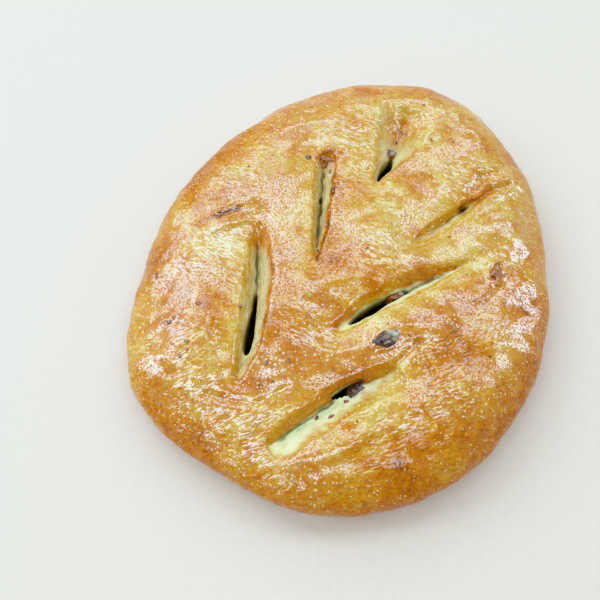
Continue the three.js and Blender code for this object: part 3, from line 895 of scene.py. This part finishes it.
def walnut_skin(name, *shades):
    """The skin's material, from its dark, middle and light shade, and from how far each point is peeled."""
    material = new_material(name)
    node = functools.partial(add_node, material.node_tree)
    place = node("TexCoord").outputs["Object"]
    folds = node("TexNoise", {"Vector": place, "Scale": 1 / (SKIN_FOLD_SIZE * MM), "Detail": 3})
    skin = node("ValToRGB", {0: folds}, stops=tuple(zip((0.3, 0.5, 0.7), shades)))
    flesh = node("ValToRGB", {0: folds}, stops=FLESH_COLOURS)
    peeled = node("Attribute", attribute_name="peeled").outputs["Fac"]
    colour = node("Mix", {0: peeled, 6: skin, 7: flesh}, data_type="RGBA")
    bump = node("Bump", {"Height": folds, "Strength": 1.0, "Distance": SKIN_FOLD_BUMP * MM})
    surface = node("BsdfPrincipled", {
        "Base Color": colour, "Roughness": 0.5, "IOR": 1.47, "Normal": bump,
        "Coat Weight": 0.6, "Coat Roughness": 0.15, "Coat IOR": 1.7, "Coat Normal": bump})
    node("OutputMaterial", {"Surface": surface})
    return material


nut_skins = dict(
    glazed=walnut_skin("glazed_walnut_skin", "#2a140f", "#563226", "#8f6a52"),
    broken=walnut_skin("broken_walnut_skin", "#532813", "#84481f", "#b9824e"),
    toasted=walnut_skin("toasted_walnut_skin", "#6b330c", "#9c5619", "#c58a4a"),
)
for number, nut in enumerate(NUT_PIECES, 1):
    kernel = add_object(f"walnut_{number}", closed_mesh("kernel", *kernel_grids(nut, number)))
    spots = mesh_array(kernel.data.vertices, "co") / MM - loaf_shift
    along = turned(spots[:, 0] - nut["at"][0], spots[:, 1] - nut["at"][1], nut["turn"])[0]
    ragged = dough_noise(spots, *PEELING_EDGE, PEELING_SEED + number)
    peeled = ease(-PEELING_FADE, PEELING_FADE, along / nut["size"][0] * 2 - nut["peeled"] + ragged)
    field = kernel.data.attributes.new("peeled", "FLOAT", "POINT")
    field.data.foreach_set("value", peeled.astype(np.float32))
    kernel.data.materials.append(nut_skins[nut["skin"]])
    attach(kernel, "root")
    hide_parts(f"nut_piece_{number}")


# The crumbs of walnut. Small bits that broke off in the kneading stick to the crust and in the slashes,
# baked on with the glaze. Those that are seen are given by place in plan and size, and a few more lie
# scattered.
SEEN_CRUMBS = np.array([
    (-81, -27, 2.4), (-87, -50, 2.4), (-90, -58, 2), (-42, -61, 2.2), (-58, -28, 2.6), (-18, 71, 3.2),
    (-4, 63, 2.6), (-14, -90, 2.4), (-6, -90, 2.8), (3, -81, 2.6), (-12, 8, 2.2), (-107, -4, 2.6),
    (-97, -36, 2.8), (-88, 44, 2), (-54, 67, 2), (60, 88, 2), (87, 52, 2.4), (38, 92, 2.8), (46, 98, 2),
])
SCATTERED_CRUMBS = 12
SCATTER_SEED = 31
SCATTER_REACH = 0.92
CRUMB_SIZES = (0.9, 1.7)
CRUMB_STRETCH = np.array([1.4, 0.9, 0.4])
CRUMB_DENTS = (0.5, 0.8, 33)
CRUMB_STEP = 9
CRUMB_TURN = 2.4
CRUMB_FACING = 0.2
CRUMB_ROWS = 4


def crumb_grids():
    """Every crumb's upper and lower half: a coarse ball, dented by noise, stretched and turned, set on the
    loaf's vertex nearest to its place in plan among those that face up."""
    draw = np.random.default_rng(SCATTER_SEED)
    bearing = draw.random(SCATTERED_CRUMBS) * 2 * math.pi
    reach = SCATTER_REACH * np.sqrt(draw.random(SCATTERED_CRUMBS)) * edge_radius(bearing)
    scattered = np.stack([reach * np.cos(bearing), reach * np.sin(bearing)], axis=-1)
    places = np.concatenate([SEEN_CRUMBS[:, :2], scattered])
    sizes = np.concatenate([SEEN_CRUMBS[:, 2], draw.uniform(*CRUMB_SIZES, SCATTERED_CRUMBS)])
    upward = points[normals[:, 2] > CRUMB_FACING]
    nearest = np.hypot(*(upward[:, None, :2] - places).transpose(2, 0, 1)).argmin(axis=0)
    spots = (upward[nearest] + loaf_shift)[:, None, None, :]
    number = np.arange(len(places))[:, None, None]
    halves = []
    for ball in ball_halves(CRUMB_ROWS):
        shifted = ball.reshape(1, -1, 3) + CRUMB_STEP * number
        dents = dough_noise(shifted.reshape(-1, 3), *CRUMB_DENTS).reshape(len(places), *ball.shape[:2], 1)
        stretch = sizes[:, None] / 2 * CRUMB_STRETCH
        shaped = ball * (1 + dents) * stretch[:, None, None, :]
        halves.append(spun(shaped, number * CRUMB_TURN) + spots)
    return zip(*halves)


def joined_mesh(name, meshes):
    """One mesh of several, which are then removed."""
    shape = bmesh.new()
    for mesh in meshes:
        shape.from_mesh(mesh)
        bpy.data.meshes.remove(mesh)
    joined = bpy.data.meshes.new(name)
    shape.to_mesh(joined)
    shape.free()
    joined.shade_smooth()
    return joined


bits = [closed_mesh("bit", *halves) for halves in crumb_grids()]
crumbs = add_object("walnut_crumbs", joined_mesh("crumbs", bits))
crumbs.data.materials.append(nut_skins["broken"])
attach(crumbs, "root")


# The floor and the light. A wide sheet of pale paper lies under the loaf, and glows a little far from it,
# as a lit room would. Eight soft boxes stand round and over it, and the low sky is brighter than the top,
# so that the crust's shine breaks up over all of it.
FLOOR_SIZE = 12000
FLOOR_THICKNESS = 5
PAPER_FIBRE_SIZE = 4
PAPER_COLOURS = ((0.2, "#d7c3ad"), (0.8, "#dcc8b2"))
GLOW_COLOUR = "#dff2f8"
GLOW_START, GLOW_END = 500, 2800
GLOW_STRENGTH = 0.66
BOX_COLOUR = "#bfe0ff"
BOX_AIM = np.array([0, 0, 30])
SOFT_BOXES = (
    dict(name="far_box", at=(-50, 1600, 1050), size=(2250, 500), power=12),
    dict(name="top_box", at=(-50, 700, 1600), size=(2800, 600), power=20),
    dict(name="near_box", at=(-50, -450, 1600), size=(2250, 380), power=16),
    dict(name="left_box", at=(-1550, 50, 900), size=(380, 1250), power=12),
    dict(name="left_far_box", at=(-1130, 850, 1100), size=(1000, 900), power=12),
    dict(name="left_top_box", at=(-330, 1150, 1450), size=(500, 420), power=1.5),
    dict(name="right_box", at=(1550, 400, 900), size=(380, 1250), power=10),
    dict(name="front_box", at=(-1050, -1300, 820), size=(750, 380), power=5),
)
LOW_SKY, HIGH_SKY = 0.08, 0.35
LOW_SKY_STRENGTH, HIGH_SKY_STRENGTH = 0.9, 0.4
SKY_COLOURS = ((LOW_SKY, "#f5f5f3"), (HIGH_SKY, "#fff7ec"))


def pale_paper():
    """The sheet's material: fine fibres, and a glow that grows with the way from the loaf."""
    material = new_material("pale_paper")
    node = functools.partial(add_node, material.node_tree)
    place = node("TexCoord").outputs["Object"]
    fibres = node("TexNoise", {"Vector": place, "Scale": 1 / (PAPER_FIBRE_SIZE * MM), "Detail": 3})
    paper = node("ValToRGB", {0: fibres}, stops=PAPER_COLOURS)
    reach = node("VectorMath", {0: place}, operation="LENGTH").outputs["Value"]
    glow = node("MapRange", {"Value": reach, 1: GLOW_START * MM, 2: GLOW_END * MM, 3: 0, 4: GLOW_STRENGTH})
    sheet = node("BsdfPrincipled", {
        "Base Color": paper, "Roughness": 0.8,
        "Emission Color": linear(GLOW_COLOUR), "Emission Strength": glow})
    node("OutputMaterial", {"Surface": sheet})
    return material


floor_ends = (-FLOOR_SIZE / 2, FLOOR_SIZE / 2)
floor_top = np.stack([*np.meshgrid(floor_ends, floor_ends), np.zeros((2, 2))], axis=-1)
floor = add_object("floor", closed_mesh("floor", floor_top, floor_top - np.array([0, 0, FLOOR_THICKNESS])))
floor.data.materials.append(pale_paper())

for box in SOFT_BOXES:
    light = bpy.data.lights.new(box["name"], "AREA")
    light.shape = "RECTANGLE"
    light.size, light.size_y = np.array(box["size"]) * MM
    light.energy = box["power"]
    light.color = linear(BOX_COLOUR)[:3]
    lamp = bpy.data.objects.new(box["name"], light)
    lamp.location = np.array(box["at"]) * MM
    aim_x, aim_y, aim_z = BOX_AIM - np.array(box["at"])
    tilt = math.atan2(math.hypot(aim_x, aim_y), -aim_z)
    lamp.rotation_euler = (tilt, 0, math.atan2(aim_y, aim_x) - math.pi / 2)
    lamp.visible_camera = False
    bpy.context.scene.collection.objects.link(lamp)

world = bpy.data.worlds.new("studio")
world.use_nodes = True
world.node_tree.nodes.clear()
sky_node = functools.partial(add_node, world.node_tree)
height = sky_node("SeparateXYZ", {0: sky_node("TexCoord").outputs["Generated"]}).outputs["Z"]
sky = sky_node("ValToRGB", {0: height}, stops=SKY_COLOURS)
haze = sky_node("MapRange", {
    "Value": height, 1: LOW_SKY, 2: HIGH_SKY, 3: LOW_SKY_STRENGTH, 4: HIGH_SKY_STRENGTH})
sky_node("OutputWorld", {"Surface": sky_node("Background", {"Color": sky, "Strength": haze})})
bpy.context.scene.world = world
bpy.context.scene.view_settings.view_transform = "Khronos PBR Neutral"
